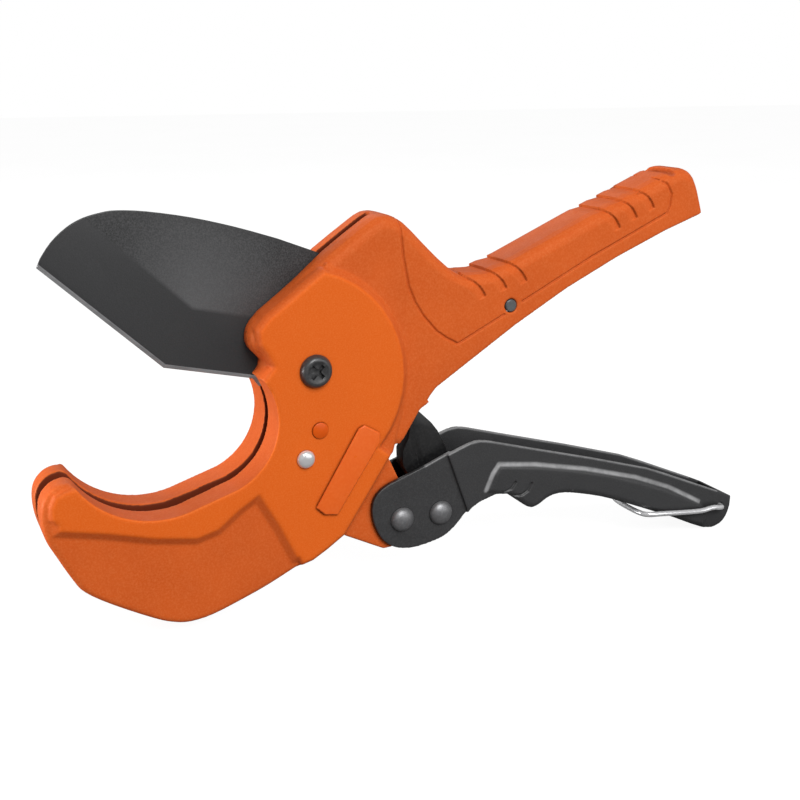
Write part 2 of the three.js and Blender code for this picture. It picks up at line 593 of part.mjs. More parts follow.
addPiece('fulcrum_rivet', rivet(FULCRUM), DARK_STEEL);
addPiece('fulcrum_sleeve', ring(FULCRUM, BORE, 4.6, 2, 8.8), DARK_STEEL);
addPiece('handle_return_spring', torsionSpring(
  FULCRUM, 6.2, 0.7, 2.9, 7.6, 150, 3.34, [37.8, 2.9, -77], [75, 7.6, -88.2],
), SPRING_STEEL);
addPiece('pawl_rivet', rivet(PAWL_RIVET), DARK_STEEL);
addPiece('pawl_spacer', ring(PAWL_RIVET, BORE, 5.2, 4.3, 9.2), DARK_STEEL);
addPiece('drive_pawl', drivePawl(), BLACK_COAT);
addPiece('drive_pawl_spring', torsionSpring(
  PAWL_RIVET, 4.6, 0.6, -8.5, -5.1, -60, 2.34, [79, -8.5, -80.6], [66, -5.1, -62],
), SPRING_STEEL);
addPiece('lock_bail', lockBail(), CHROME);

const centre = new THREE.Box3().setFromObject(tool).getCenter(new THREE.Vector3());
tool.position.copy(centre).negate();
const cutter = new THREE.Group();
cutter.add(tool);
export default cutter;
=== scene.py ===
"""Looks of the ratchet pipe cutter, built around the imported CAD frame.

Row frame, in metres: +X from the jaw to the handles, +Z up, +Y away from the badge side. Places on the
tool are given in millimetres from the blade pivot, as in the CAD, and at() puts them in the row frame.
"""
import json
import math

import bmesh
import bpy
import numpy as np
from mathutils import Matrix, Vector


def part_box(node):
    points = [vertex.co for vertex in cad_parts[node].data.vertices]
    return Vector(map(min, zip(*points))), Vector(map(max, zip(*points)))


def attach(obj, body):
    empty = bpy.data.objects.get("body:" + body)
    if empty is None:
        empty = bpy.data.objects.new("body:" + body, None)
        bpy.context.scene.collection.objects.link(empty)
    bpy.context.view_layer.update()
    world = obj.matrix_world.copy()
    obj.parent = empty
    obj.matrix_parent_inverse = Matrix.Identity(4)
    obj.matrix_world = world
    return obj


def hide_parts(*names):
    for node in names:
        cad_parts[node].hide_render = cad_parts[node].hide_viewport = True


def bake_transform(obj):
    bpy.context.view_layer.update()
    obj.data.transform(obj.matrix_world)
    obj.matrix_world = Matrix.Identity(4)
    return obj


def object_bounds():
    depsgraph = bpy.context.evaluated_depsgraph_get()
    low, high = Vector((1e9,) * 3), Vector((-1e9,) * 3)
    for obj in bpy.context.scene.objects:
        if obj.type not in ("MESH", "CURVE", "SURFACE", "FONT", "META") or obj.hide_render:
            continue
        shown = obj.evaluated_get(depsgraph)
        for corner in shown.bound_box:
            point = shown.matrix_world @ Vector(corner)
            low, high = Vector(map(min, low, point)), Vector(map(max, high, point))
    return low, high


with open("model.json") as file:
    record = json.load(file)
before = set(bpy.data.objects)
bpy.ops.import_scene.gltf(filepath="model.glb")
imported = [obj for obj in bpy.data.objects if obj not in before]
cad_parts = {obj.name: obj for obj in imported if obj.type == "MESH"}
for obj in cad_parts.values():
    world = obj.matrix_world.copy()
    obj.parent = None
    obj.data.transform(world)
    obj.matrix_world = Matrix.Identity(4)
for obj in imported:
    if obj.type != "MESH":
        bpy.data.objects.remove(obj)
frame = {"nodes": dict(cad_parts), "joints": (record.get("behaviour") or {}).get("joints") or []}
cad_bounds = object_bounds()

MM = 0.001
JOINT_AT = {joint["name"]: Vector(joint["pos_m"]) for joint in frame["joints"]}
PIVOT = JOINT_AT["blade_swing"]
LOWEST = cad_bounds[0][2]


def at(x, y, z):
    """A point given in millimetres from the blade pivot, in the row frame."""
    return PIVOT + Vector((x, y, z)) * MM


# ---- materials ---------------------------------------------------------------------------------

class Nodes:
    """A short way to write a material's node tree."""

    def __init__(self, name):
        self.material = bpy.data.materials.new(name)
        self.material.use_nodes = True
        self.tree = self.material.node_tree
        self.shader = self.tree.nodes["Principled BSDF"]
        self.place = self.add("ShaderNodeTexCoord").outputs["Object"]

    def add(self, kind, inputs=None, **settings):
        node = self.tree.nodes.new(kind)
        for key, value in settings.items():
            setattr(node, key, value)
        for key, value in (inputs or {}).items():
            self.set(node.inputs[key], value)
        return node

    def set(self, socket, value):
        if isinstance(value, bpy.types.NodeSocket):
            self.tree.links.new(value, socket)
        else:
            socket.default_value = value

    def noise(self, scale, detail=2.0, roughness=0.5, stretch=None):
        place = self.place
        if stretch:
            place = self.add("ShaderNodeMapping", {"Vector": place, "Scale": stretch}).outputs[0]
        inputs = {"Vector": place, "Scale": scale, "Detail": detail, "Roughness": roughness}
        return self.add("ShaderNodeTexNoise", inputs).outputs["Fac"]

    def ramp(self, value, low, high, out_low=0.0, out_high=1.0):
        inputs = {"Value": value, "From Min": low, "From Max": high, "To Min": out_low, "To Max": out_high}
        return self.add("ShaderNodeMapRange", inputs, clamp=True).outputs[0]

    def mix(self, factor, a, b):
        node = self.add("ShaderNodeMix", data_type="RGBA")
        self.set(node.inputs[0], factor)
        self.set(node.inputs[6], a)
        self.set(node.inputs[7], b)
        return node.outputs[2]

    def math(self, operation, a, b=0.0):
        return self.add("ShaderNodeMath", {0: a, 1: b}, operation=operation).outputs[0]

    def plane(self, point, normal):
        """Distance in metres from a plane, counted along its normal."""
        away = self.add("ShaderNodeVectorMath", {0: self.place, 1: point}, operation="SUBTRACT").outputs[0]
        dot = self.add("ShaderNodeVectorMath", {0: away, 1: normal}, operation="DOT_PRODUCT")
        return dot.outputs["Value"]

    def distance(self, point):
        """Distance in metres from a point."""
        inputs = {0: self.place, 1: point}
        return self.add("ShaderNodeVectorMath", inputs, operation="DISTANCE").outputs["Value"]

    def crevice(self, distance):
        """1 on open surfaces, falling towards 0 in slots and corners."""
        node = self.add("ShaderNodeAmbientOcclusion", {"Distance": distance}, samples=8)
        return node.outputs["AO"]

    def bump(self, height, strength, distance):
        inputs = {"Height": height, "Strength": strength, "Distance": distance}
        self.set(self.shader.inputs["Normal"], self.add("ShaderNodeBump", inputs).outputs[0])

    def finish(self, **inputs):
        for key, value in inputs.items():
            self.set(self.shader.inputs[key.replace("_", " ").title()], value)
        return self.material


def rgb(red, green, blue):
    """A colour written as 8-bit sRGB values, turned into the linear values that Blender works with."""
    def linear(value):
        value /= 255
        return value / 12.92 if value <= 0.04045 else ((value + 0.055) / 1.055) ** 2.4
    return (linear(red), linear(green), linear(blue), 1.0)


def powder_coat(name, colour, light, dark, roughness, grain=1500, depth=0.00006, edge_wear_and_highlight=0.25):
    """Baked powder coat: fine orange-peel grain, slight mottling, lighter edges that are partly worn coat and
    partly painted highlight, and painted shade in crevices.
    """
    n = Nodes(name)
    tone = coat_tone(n, colour, light, dark, grain, edge_wear_and_highlight)
    return coat_surface(n, tone, dark, roughness, grain, depth)


def coat_tone(n, colour, light, dark, grain, edge_wear_and_highlight):
    mottle = n.ramp(n.noise(38, 3), 0.35, 0.65)
    tone = n.mix(n.math("MULTIPLY", mottle, 0.25), colour, dark)
    tone = n.mix(n.ramp(n.noise(grain, 3, 0.6), 0.42, 0.75, 0.0, 0.25), tone, light)
    # Lighter edges: partly worn coat, partly a painted highlight along the rims.
    pointed = n.add("ShaderNodeNewGeometry").outputs["Pointiness"]
    return n.mix(n.ramp(pointed, 0.53, 0.62, 0.0, edge_wear_and_highlight), tone, light)


def coat_surface(n, tone, dark, roughness, grain, depth, gloss=0.25, reach=7 * MM):
    # Painted shade: in slots and corners the tone fades towards a quarter of the dark colour, by ambient
    # occlusion within the reach.
    shadow = tuple(0.25 * part for part in dark[:3]) + (1.0,)
    tone = n.mix(n.ramp(n.crevice(reach), 0.1, 0.8, 1.0, 0.0), tone, shadow)
    height = n.math("ADD", n.noise(grain, 3, 0.6), n.math("MULTIPLY", n.noise(420, 2), 0.8))
    n.bump(height, 0.5, depth)
    rough = n.ramp(n.noise(150, 3), 0.3, 0.7, roughness - 0.05, roughness + 0.06)
    n.set(n.shader.inputs["Specular IOR Level"], gloss)
    return n.finish(base_color=tone, roughness=rough)


# Where the frame's coat changes and where the blade slot gets its painted shade. A pair is a stretch over
# which it fades, with X and Z from the blade pivot.
RAISED_FACE = (17.2 * MM, 17.8 * MM)         # from mid-thickness to the raised faces
SLOT_TAPER = (-64 * MM, -22 * MM)            # X over which the blade slot narrows
SLOT_HALVES = (4.1 * MM, 2.2 * MM)           # the slot's half width at the two ends of its taper
SLOT_RIM = 0.25 * MM
HOOK_CENTRE = at(-71.6, 0, -16.3)
HOOK_REACH = (62 * MM, 66 * MM)              # from that centre to the end of the slot in the hook
RIDGE_END = (33 * MM, 34.5 * MM)             # X at which the slot along the top ridge ends
RIDGE_FOOT = (18 * MM, 20 * MM)              # Z at which it begins


def inside_slot(n, side):
    """1 on the walls and floor of the blade slot, where its painted shade goes, given the distance from
    mid-thickness.
    """
    along = n.plane(PIVOT, (1, 0, 0))
    past_wall = n.math("SUBTRACT", side, n.ramp(along, *SLOT_TAPER, *SLOT_HALVES))
    inside = n.ramp(past_wall, 0, SLOT_RIM, 1.0, 0.0)
    hook = n.ramp(n.distance(HOOK_CENTRE), *HOOK_REACH, 1.0, 0.0)
    ridge = n.math("MULTIPLY", n.ramp(along, *RIDGE_END, 1.0, 0.0),
                   n.ramp(n.plane(PIVOT, (0, 0, 1)), *RIDGE_FOOT))
    return n.math("MULTIPLY", inside, n.math("MAXIMUM", hook, ridge))


def cast_orange():
    """The frame's coat: smooth and vivid on the raised faces, sandier on the panels, with painted shade in
    the slot.
    """
    n = Nodes("orange_powder_coat")
    raised = coat_tone(n, rgb(221, 97, 28), rgb(238, 146, 80), rgb(214, 90, 24), 1400, 0.6)
    panel = coat_tone(n, rgb(206, 90, 35), rgb(232, 142, 84), rgb(180, 72, 26), 1100, 0.6)
    side = n.math("ABSOLUTE", n.plane(PIVOT, (0, 1, 0)))
    tone = n.mix(n.ramp(side, *RAISED_FACE), panel, raised)
    # Painted shade: the blade slot's walls and floor are coloured dark brown.
    tone = n.mix(inside_slot(n, side), tone, rgb(104, 42, 24))
    n.set(n.shader.inputs["Specular Tint"], rgb(255, 216, 172))
    return coat_surface(n, tone, rgb(140, 48, 18), 0.5, 1300, 0.00007, 0.16)


def worked_steel(name, colour, light, roughness, metallic=1.0, scratch=None, edge_wear_and_highlight=0.5):
    """Plated or ground steel: fine directional scratches, uneven gloss and brighter edges."""
    n = Nodes(name)
    fine = n.noise(900, 4, 0.65, scratch or (1, 1, 1))
    cloud = n.ramp(n.noise(60, 3), 0.3, 0.7)
    pointed = n.add("ShaderNodeNewGeometry").outputs["Pointiness"]
    tone = n.mix(n.ramp(fine, 0.45, 0.8, 0.0, 0.35), colour, light)
    tone = n.mix(n.ramp(pointed, 0.52, 0.60, 0.0, edge_wear_and_highlight), tone, light)
    n.bump(fine, 0.3, 0.00003)
    rough = n.math("ADD", n.ramp(fine, 0.3, 0.7, roughness - 0.06, roughness + 0.08),
                   n.math("MULTIPLY", cloud, 0.07))
    return n.finish(base_color=tone, roughness=rough, metallic=metallic)


def ground_blade():
    """Coated blade: bright edge, dark flank and a speckled upper part with a painted sheen, palest at the
    flank's corner.
    """
    n = Nodes("coated_blade")
    rise = [n.plane(at(x, 0, z), (math.cos(a), 0, math.sin(a))) for x, z, a in BLADE_EDGES]
    from_edge = n.math("MINIMUM", *rise)
    speckle = n.ramp(n.noise(1500, 3, 0.7), 0.38, 0.72)
    streak = n.ramp(n.noise(240, 4, 0.6, (0.25, 1, 1)), 0.35, 0.7)
    flank = n.mix(n.math("MULTIPLY", speckle, 0.25), rgb(52, 52, 53), rgb(70, 70, 71))
    # Painted sheen: the upper part is palest at the flank's corner and darkens over 46 mm away from it.
    upper = n.mix(n.ramp(n.distance(FLANK_CORNER), 0, 46 * MM), rgb(84, 84, 85), rgb(34, 34, 35))
    upper = n.mix(n.math("MULTIPLY", speckle, 0.3), upper, rgb(104, 104, 105))
    tone = n.mix(n.ramp(from_edge, FLANK - 0.9 * MM, FLANK + 0.9 * MM), flank, upper)
    bright = n.mix(streak, rgb(176, 176, 178), rgb(206, 206, 208))
    edge = n.ramp(from_edge, CUTTING_BEVEL - 0.15 * MM, CUTTING_BEVEL + 0.15 * MM, 1.0, 0.0)
    tone = n.mix(edge, tone, bright)
    n.bump(speckle, 0.35, 0.00004)
    n.set(n.shader.inputs["Specular IOR Level"], 0.25)
    rough = n.ramp(edge, 0, 1, 0.48, 0.28)
    return n.finish(base_color=tone, roughness=rough, metallic=n.math("MULTIPLY", edge, 0.8))


def black_coat():
    """The lower handle's coat, with a painted highlight along the crest of the grip and the plates' upper
    edges, and painted shade deep in its channel.
    """
    n = Nodes("black_powder_coat")
    tone = coat_tone(n, rgb(50, 50, 51), rgb(96, 96, 97), rgb(34, 34, 35), 1600, 0.5)
    painted_highlight = n.add("ShaderNodeAttribute", attribute_name="painted_highlight").outputs["Fac"]
    patchy = n.math("MULTIPLY", painted_highlight, n.ramp(n.noise(180, 4, 0.6), 0.25, 0.6, 0.55, 1.0))
    # Painted highlight: the coat turns pale grey along the grip's crest and the plates' upper edges.
    tone = n.mix(patchy, tone, rgb(150, 150, 151))
    return coat_surface(n, tone, rgb(34, 34, 35), 0.42, 1600, 0.00004, 0.45, 24 * MM)


# The blade's cutting edges: a point on each, in mm, and the direction that the blade rises in, in radians.
BLADE_EDGES = [(-64, 4.3, math.radians(46.4)), (-64, 4.3, math.radians(76.9))]
FLANK = 28 * MM
# The centre of the painted sheen on the blade's upper part.
FLANK_CORNER = at(-50.2, 0, 29.8)
CUTTING_BEVEL = 1.7 * MM

ORANGE = cast_orange()
BADGE_COAT = powder_coat("badge_enamel", rgb(226, 98, 32), rgb(238, 128, 62), rgb(216, 88, 26), 0.32, 700,
                         0.00002)
PLUG_PAINT = powder_coat("plug_enamel", rgb(212, 82, 6), rgb(224, 106, 30), rgb(190, 66, 4), 0.35, 900,
                         0.00002)
BLACK = black_coat()
BLADE_STEEL = ground_blade()
BLACK_STEEL = worked_steel("blackened_steel", rgb(20, 20, 21), rgb(58, 58, 58), 0.36, 0.2)
SCREW_BLACK = worked_steel("black_oxide", rgb(62, 62, 63), rgb(110, 110, 110), 0.34, 0.4)
RIVET_STEEL = worked_steel("rivet_steel", rgb(128, 128, 130), rgb(172, 172, 173), 0.42, 0.75)
PIN_STEEL = worked_steel("pin_steel", rgb(84, 88, 90), rgb(120, 122, 124), 0.4, 0.5)
BRIGHT_STEEL = worked_steel("spring_steel", rgb(176, 176, 172), rgb(220, 220, 216), 0.26)
CHROME = worked_steel("polished_chrome", rgb(232, 232, 234), rgb(248, 248, 248), 0.14, 0.6)


# ---- mesh tools --------------------------------------------------------------------------------

def copy_of(node, name):
    """A new object with a copy of a CAD node's mesh."""
    piece = bpy.data.objects.new(name, frame["nodes"][node].data.copy())
    bpy.context.scene.collection.objects.link(piece)
    piece.data.materials.clear()
    return piece


def settle(piece):
    """Apply every modifier of the piece to its mesh."""
    bpy.context.view_layer.update()
    evaluated = piece.evaluated_get(bpy.context.evaluated_depsgraph_get())
    mesh = bpy.data.meshes.new_from_object(evaluated)
    piece.modifiers.clear()
    piece.data = mesh
    return piece


def soften(piece, voxel, passes, factor=0.5):
    """Remesh a piece evenly and round off its edges, as casting and coating do."""
    remesh = piece.modifiers.new("remesh", "REMESH")
    remesh.mode = "VOXEL"
    remesh.voxel_size = voxel
    smooth = piece.modifiers.new("smooth", "SMOOTH")
    smooth.iterations = passes
    smooth.factor = factor
    return settle(piece)


def weld(piece):
    """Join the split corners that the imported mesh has, so that modifiers see one surface."""
    work = bmesh.new()
    work.from_mesh(piece.data)
    bmesh.ops.remove_doubles(work, verts=work.verts, dist=1e-6)
    work.to_mesh(piece.data)
    work.free()
    return piece


def shade(piece, material, smooth=True):
    piece.data.materials.clear()
    piece.data.materials.append(material)
    piece.data.polygons.foreach_set("use_smooth", [smooth] * len(piece.data.polygons))
    return piece


def points_of(piece):
    co = np.empty(len(piece.data.vertices) * 3, np.float32)
    piece.data.vertices.foreach_get("co", co)
    return co.reshape(-1, 3).astype(float)


def set_points(piece, co):
    piece.data.vertices.foreach_set("co", co.astype(np.float32).ravel())
    piece.data.update()


def normals_of(piece):
    normal = np.empty(len(piece.data.vertices) * 3, np.float32)
    piece.data.vertex_normals.foreach_get("vector", normal)
    return normal.reshape(-1, 3).astype(float)


def tool_mm(piece):
    """The piece's points in millimetres from the blade pivot."""
    return (points_of(piece) - np.array(PIVOT)) / MM


def refine(piece, wanted):
    """Split the edges between points where wanted(points in mm) is true, to carry finer relief."""
    chosen = wanted(tool_mm(piece))
    work = bmesh.new()
    work.from_mesh(piece.data)
    work.verts.ensure_lookup_table()
    edges = [e for e in work.edges if chosen[e.verts[0].index] and chosen[e.verts[1].index]]
    bmesh.ops.subdivide_edges(work, edges=edges, cuts=1, use_grid_fill=True)
    work.to_mesh(piece.data)
    work.free()


def sink(piece, depth):
    """Push the points in along their normals by depth(points in mm), given in mm."""
    set_points(piece, points_of(piece) - normals_of(piece) * depth(tool_mm(piece))[:, None] * MM)


def line_distance(points, line):
    """Distance in the XZ plane, in mm, from each point to a chain of straight stretches."""
    flat = points[:, [0, 2]]
    nearest = np.full(len(flat), 1e9)
    for start, end in zip(line, line[1:]):
        start, along = np.array(start, float), np.array(end, float) - np.array(start, float)
        part = np.clip((flat - start) @ along / (along @ along), 0, 1)
        nearest = np.minimum(nearest, np.linalg.norm(flat - start - part[:, None] * along, axis=1))
    return nearest


def nearest_line(points, pair):
    """Distance in the XZ plane, in mm, from each point to the nearer of a pair of lines."""
    return np.minimum(*(line_distance(points, line) for line in pair))


def smoothstep(low, high, value):
    part = np.clip((value - low) / (high - low), 0, 1)
    return part * part * (3 - 2 * part)


def stand_for(piece, node, body, material, smooth=True):
    """Finish a piece that takes a CAD node's place."""
    shade(piece, material, smooth)
    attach(piece, body)
    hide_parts(node)
    return piece


# ---- frame casting -----------------------------------------------------------------------------

# The moulded contour on the handle's sides, in mm, in two stretches either side of the anchor pin.
CONTOURS = [
    [(43.9, 64), (43.9, 57.3), (44.9, 47.8), (47.8, 33.4), (51, 26), (55.4, 19.1), (62.1, 11.5),
     (67.5, 7.6), (73.5, 4.3), (98.4, 16.2)],
    [(108.5, 21.8), (146.8, 40.6), (191.2, 59.9), (192.9, 63.6), (193.4, 69.4), (190.5, 74.4), (184, 79)],
]
CONTOUR_WIDTH = 0.85
CONTOUR_DEPTH = 0.8
CONTOUR_FADE = (5, 8)                        # from mid-thickness, where the contour begins and is full

# The grip ribs, in mm along and across the handle: each one's lower end, and the stretches that hold them.
HANDLE_AXIS = (0.914, 0.407)                 # X and Z parts of the direction along the handle
RIB_ENDS = [(91.3, -12), (102.9, -14), (114.1, -16), (171.5, -17), (182.4, -17), (193.4, -17)]
RIB_STRETCHES = [(78, 117), (154, 197)]
RIB_FOOT = -19                               # no rib reaches this far down the side
RIB_CLIMB = 14                               # the height over which a rib leans back and widens
RIB_BEND = 0.028                             # how fast it leans back as it climbs
RIB_WIDTH = 4.4                              # its width at the lower end
RIB_SPREAD = 0.15                            # what each mm of climb adds to that width
RIB_DEPTH = 1.15

# The handle's outer surface: its sides lie past SIDE from mid-thickness, its top above TOP across the axis.
SIDE = 12.2
TOP = -6.5


def along_handle(points):
    """Distances along and across the upper handle's axis, in mm."""
    axis_x, axis_z = HANDLE_AXIS
    x, z = points[:, 0], points[:, 2]
    return x * axis_x + z * axis_z, z * axis_x - x * axis_z


def on_outside(points):
    _, across = along_handle(points)
    return (np.abs(points[:, 1]) > SIDE) | (across > TOP)


def near_relief(points):
    along, across = along_handle(points)
    contour = nearest_line(points, CONTOURS) < 1.6
    first, second = ((along > start) & (along < end) for start, end in RIB_STRETCHES)
    ribbed = (across > RIB_FOOT) & (first | second)
    return (contour & (np.abs(points[:, 1]) > CONTOUR_FADE[1]) | ribbed) & on_outside(points)


def relief(points):
    """Depth of the handle's contour line and of the saw-toothed grip ribs."""
    depth = CONTOUR_DEPTH * (1 - smoothstep(0.15, CONTOUR_WIDTH, nearest_line(points, CONTOURS)))
    depth *= smoothstep(*CONTOUR_FADE, np.abs(points[:, 1]))
    along, across = along_handle(points)
    for end_along, end_across in RIB_ENDS:
        climb = np.clip(across - end_across, 0, RIB_CLIMB)
        back = end_along - RIB_BEND * climb ** 2 - along
        width = RIB_WIDTH + RIB_SPREAD * climb
        tooth = np.where((back > 0) & (back < width), 1 - back / width, 0)
        tooth *= smoothstep(-0.4, 0.5, across - end_across)
        depth += RIB_DEPTH * tooth
    return depth * on_outside(points)


def build_casting():
    piece = weld(copy_of("frame_casting", "frame_body"))
    soften(piece, 0.6 * MM, 3)
    refine(piece, near_relief)
    sink(piece, relief)
    return stand_for(piece, "frame_casting", "frame", ORANGE)


# Lines where a painted highlight lies on the lower handle's coat, in mm: the crest of the grip and the
# plates' upper edge.
GRIP_CREST = [(91, -73), (94.7, -64.5), (98, -60), (119.4, -63.2), (150, -70.2), (182.3, -79.8), (205, -89),
              (226.5, -100.9)]
PLATE_EDGE = [(58.2, -55.6), (72, -50.2), (82, -46.8), (87.8, -46.4), (93, -47.4), (117, -54.4), (154, -65),
              (190, -76), (239, -96.7)]


# The two short finger grooves ahead of the grip's bump, in mm.
FINGER_GROOVES = [
    [(107.4, -71), (105.2, -73.9), (101.8, -75.2)],
    [(116.9, -73), (115, -76.5), (111.2, -78.3), (106.5, -78.1)],
]
GROOVE_DEPTH = 0.9
GROOVE_WIDTH = 1.1
GRIP_FLANK = 13                              # the grip's bulge lies farther out than this


def near_grooves(points):
    return (nearest_line(points, FINGER_GROOVES) < 2 * GROOVE_WIDTH) & (np.abs(points[:, 1]) > GRIP_FLANK)


def finger_grooves(points):
    """Depth of the finger grooves, in mm."""
    depth = GROOVE_DEPTH * (1 - smoothstep(0.2, GROOVE_WIDTH, nearest_line(points, FINGER_GROOVES)))
    return depth * (np.abs(points[:, 1]) > GRIP_FLANK)


def paint_grip_highlight(piece):
    """Mark how strong the painted highlight is along the grip's crest and the plates' upper edges, from 0 to
    1.
    """
    points = tool_mm(piece)
    outer = smoothstep(12.6, 13.4, np.abs(points[:, 1]))
    crest = outer * (1 - smoothstep(0.5, 1.5, line_distance(points, GRIP_CREST)))
    edge = 0.6 * (1 - smoothstep(0.3, 0.9, line_distance(points, PLATE_EDGE)))
    marks = piece.data.attributes.new("painted_highlight", "FLOAT", "POINT")
    marks.data.foreach_set("value", np.maximum(crest, edge).astype(np.float32))


def build_lower_handle():
    piece = weld(copy_of("lower_handle", "lower_handle_body"))
    soften(piece, 0.5 * MM, 3)
    refine(piece, near_grooves)
    sink(piece, finger_grooves)
    paint_grip_highlight(piece)
    return stand_for(piece, "lower_handle", "handle", BLACK)


# ---- blade, pawls and other pieces made from the CAD shapes ----------------------------------------

def edged(node, name, body, material, bevel):
    """A copy of a CAD piece with its sharp edges broken by a small bevel."""
    piece = weld(copy_of(node, name))
    edge = piece.modifiers.new("edge", "BEVEL")
    edge.width = bevel * MM
    edge.segments = 2
    edge.limit_method = "ANGLE"
    edge.angle_limit = math.radians(30)
    settle(piece)
    stand_for(piece, node, body, material)
    piece.data.set_sharp_from_angle(angle=math.radians(35))
    return piece


def round_wire(node, name, swell):
    """A copy of a CAD wire, subdivided until it is round and swollen back to its full thickness."""
    piece = weld(copy_of(node, name))
    round_off = piece.modifiers.new("round", "SUBSURF")
    round_off.levels = 1
    round_off.render_levels = 1
    settle(piece)
    set_points(piece, points_of(piece) + normals_of(piece) * swell * MM)
    return piece


def turned(node, name, body, material, centre, profile, segments=72):
    """A turned piece about a Y axis: the profile lists (radius, y) in mm from axis to axis."""
    work = bmesh.new()
    points = [work.verts.new(at(centre[0] + radius, y, centre[1])) for radius, y in profile]
    edges = [work.edges.new(pair) for pair in zip(points, points[1:])]
    bmesh.ops.spin(work, geom=points + edges, cent=at(centre[0], 0, centre[1]), axis=(0, 1, 0),
                   angle=2 * math.pi, steps=segments, use_duplicate=False)
    bmesh.ops.remove_doubles(work, verts=work.verts, dist=1e-6)
    bmesh.ops.recalc_face_normals(work, faces=work.faces)
    mesh = bpy.data.meshes.new(name)
    work.to_mesh(mesh)
    work.free()
    piece = bpy.data.objects.new(name, mesh)
    bpy.context.scene.collection.objects.link(piece)
    stand_for(piece, node, body, material)
    piece.data.set_sharp_from_angle(angle=math.radians(40))
    return piece


def dome(radius, height, face, side, steps=9):
    """Profile of a domed head from its axis to its rim, standing on the plane y = face."""
    rows = []
    for step in range(steps + 1):
        turn = 0.5 * math.pi * step / steps
        rows.append((radius * math.sin(turn) ** 0.9, face + side * height * math.cos(turn)))
    return rows


def rest_of(node):
    low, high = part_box(node)
    return (np.array(low) - np.array(PIVOT)) / MM, (np.array(high) - np.array(PIVOT)) / MM


def cut_away(piece, cutters):
    for cutter in cutters:
        modifier = piece.modifiers.new("cut", "BOOLEAN")
        modifier.operation = "DIFFERENCE"
        modifier.solver = "EXACT"
        modifier.object = cutter
    settle(piece)
    for cutter in cutters:
        bpy.data.objects.remove(cutter)


def block(centre, size, turn):
    """A box cutter, in mm, turned about the Y axis by `turn` degrees."""
    work = bmesh.new()
    bmesh.ops.create_cube(work, size=1)
    place = Matrix.Translation(at(*centre)) @ Matrix.Rotation(math.radians(turn), 4, "Y")
    work.transform(place @ Matrix.Diagonal((*[side * MM for side in size], 1)))
    mesh = bpy.data.meshes.new("cutter")
    work.to_mesh(mesh)
    work.free()
    cutter = bpy.data.objects.new("cutter", mesh)
    bpy.context.scene.collection.objects.link(cutter)
    return cutter


# Heights of the heads, in mm.
SCREW_HEAD = 3.4
RIVET_HEAD = 3.5
HOLD_PIN_HEAD = 2.2
STOP_PIN_HEAD = 0.7
RIVET_HEAD_RADIUS = 6.0
SHANK = 3                                    # radius of the screw, rivets and pins


def build_screw():
    low, high = rest_of("pivot_screw")
    face = low[1] + SCREW_HEAD
    profile = [
        (0, face - 2.5), (3.9, face - 2.6), (4.7, face - 3.1), (5.4, face - 3.25), (6.3, face - 2.9),
        (7.0, face - 2.0), (7.45, face - 0.9), (7.6, face - 0.3), (7.6, face), (SHANK, face),
        (SHANK, high[1] - 0.5), (2.5, high[1]), (0, high[1]),
    ]
    screw = turned("pivot_screw", "pivot_screw_body", "frame", SCREW_BLACK, (0, 0), profile)
    cross = [block((0, face - 2.3, 0), (7.8, 3.2, 1.9), turn) for turn in (-45, 45)]
    cut_away(screw, cross + [block((0, face - 2.0, 0), (3.4, 3.0, 3.4), 0)])
    shade(screw, SCREW_BLACK)
    screw.data.set_sharp_from_angle(angle=math.radians(40))


def build_rivet(node, body, centre):
    low, high = rest_of(node)
    near, far = low[1] + RIVET_HEAD, high[1] - RIVET_HEAD
    near_dome = dome(RIVET_HEAD_RADIUS, RIVET_HEAD, near, -1)
    far_dome = dome(RIVET_HEAD_RADIUS, RIVET_HEAD, far, 1)
    profile = near_dome + [(SHANK, near), (SHANK, far)] + far_dome[::-1]
    turned(node, node + "_body", body, RIVET_STEEL, centre, profile)


def build_pins():
    low, high = rest_of("holding_pawl_pin")
    face = low[1] + HOLD_PIN_HEAD
    head = [(0, low[1]), (1.6, low[1] + 0.05), (2.9, low[1] + 0.35), (3.7, low[1] + 0.9), (4.1, low[1] + 1.6),
            (4.3, face)]
    turned("holding_pawl_pin", "holding_pawl_pin_body", "frame", CHROME, HOLD_PIN,
           head + [(SHANK, face), (SHANK, high[1] - 0.5), (2.5, high[1]), (0, high[1])])
    low, high = rest_of("stop_pin")
    face = low[1] + STOP_PIN_HEAD
    turned("stop_pin", "stop_pin_body", "frame", PLUG_PAINT, STOP_PIN,
           [(0, low[1]), (3.3, low[1]), (3.7, low[1] + 0.25), (3.8, face), (SHANK, face),
            (SHANK, high[1]), (0, high[1])])
    low, high = rest_of("anchor_pin")
    turned("anchor_pin", "anchor_pin_body", "frame", PIN_STEEL, ANCHOR_PIN,
           [(0, low[1]), (2.5, low[1]), (SHANK, low[1] + 0.45), (SHANK, high[1] - 0.45), (2.5, high[1]),
            (0, high[1])])


def pin_centre(node):
    low, high = rest_of(node)
    return ((low[0] + high[0]) / 2, (low[2] + high[2]) / 2)


FULCRUM = pin_centre("fulcrum_rivet")
PAWL_RIVET = pin_centre("pawl_rivet")
HOLD_PIN = pin_centre("holding_pawl_pin")
STOP_PIN = pin_centre("stop_pin")
ANCHOR_PIN = pin_centre("anchor_pin")

build_casting()
build_lower_handle()
edged("blade", "blade_body", "blade", BLADE_STEEL, 0.12)
edged("badge_plate", "badge_body", "frame", BADGE_COAT, 0.2)
for node, body in (("holding_pawl", "holding_pawl"), ("drive_pawl", "drive_pawl")):
    edged(node, node + "_body", body, BLACK_STEEL, 0.6)
build_screw()
build_rivet("fulcrum_rivet", "handle", FULCRUM)
build_rivet("pawl_rivet", "handle", PAWL_RIVET)
build_pins()

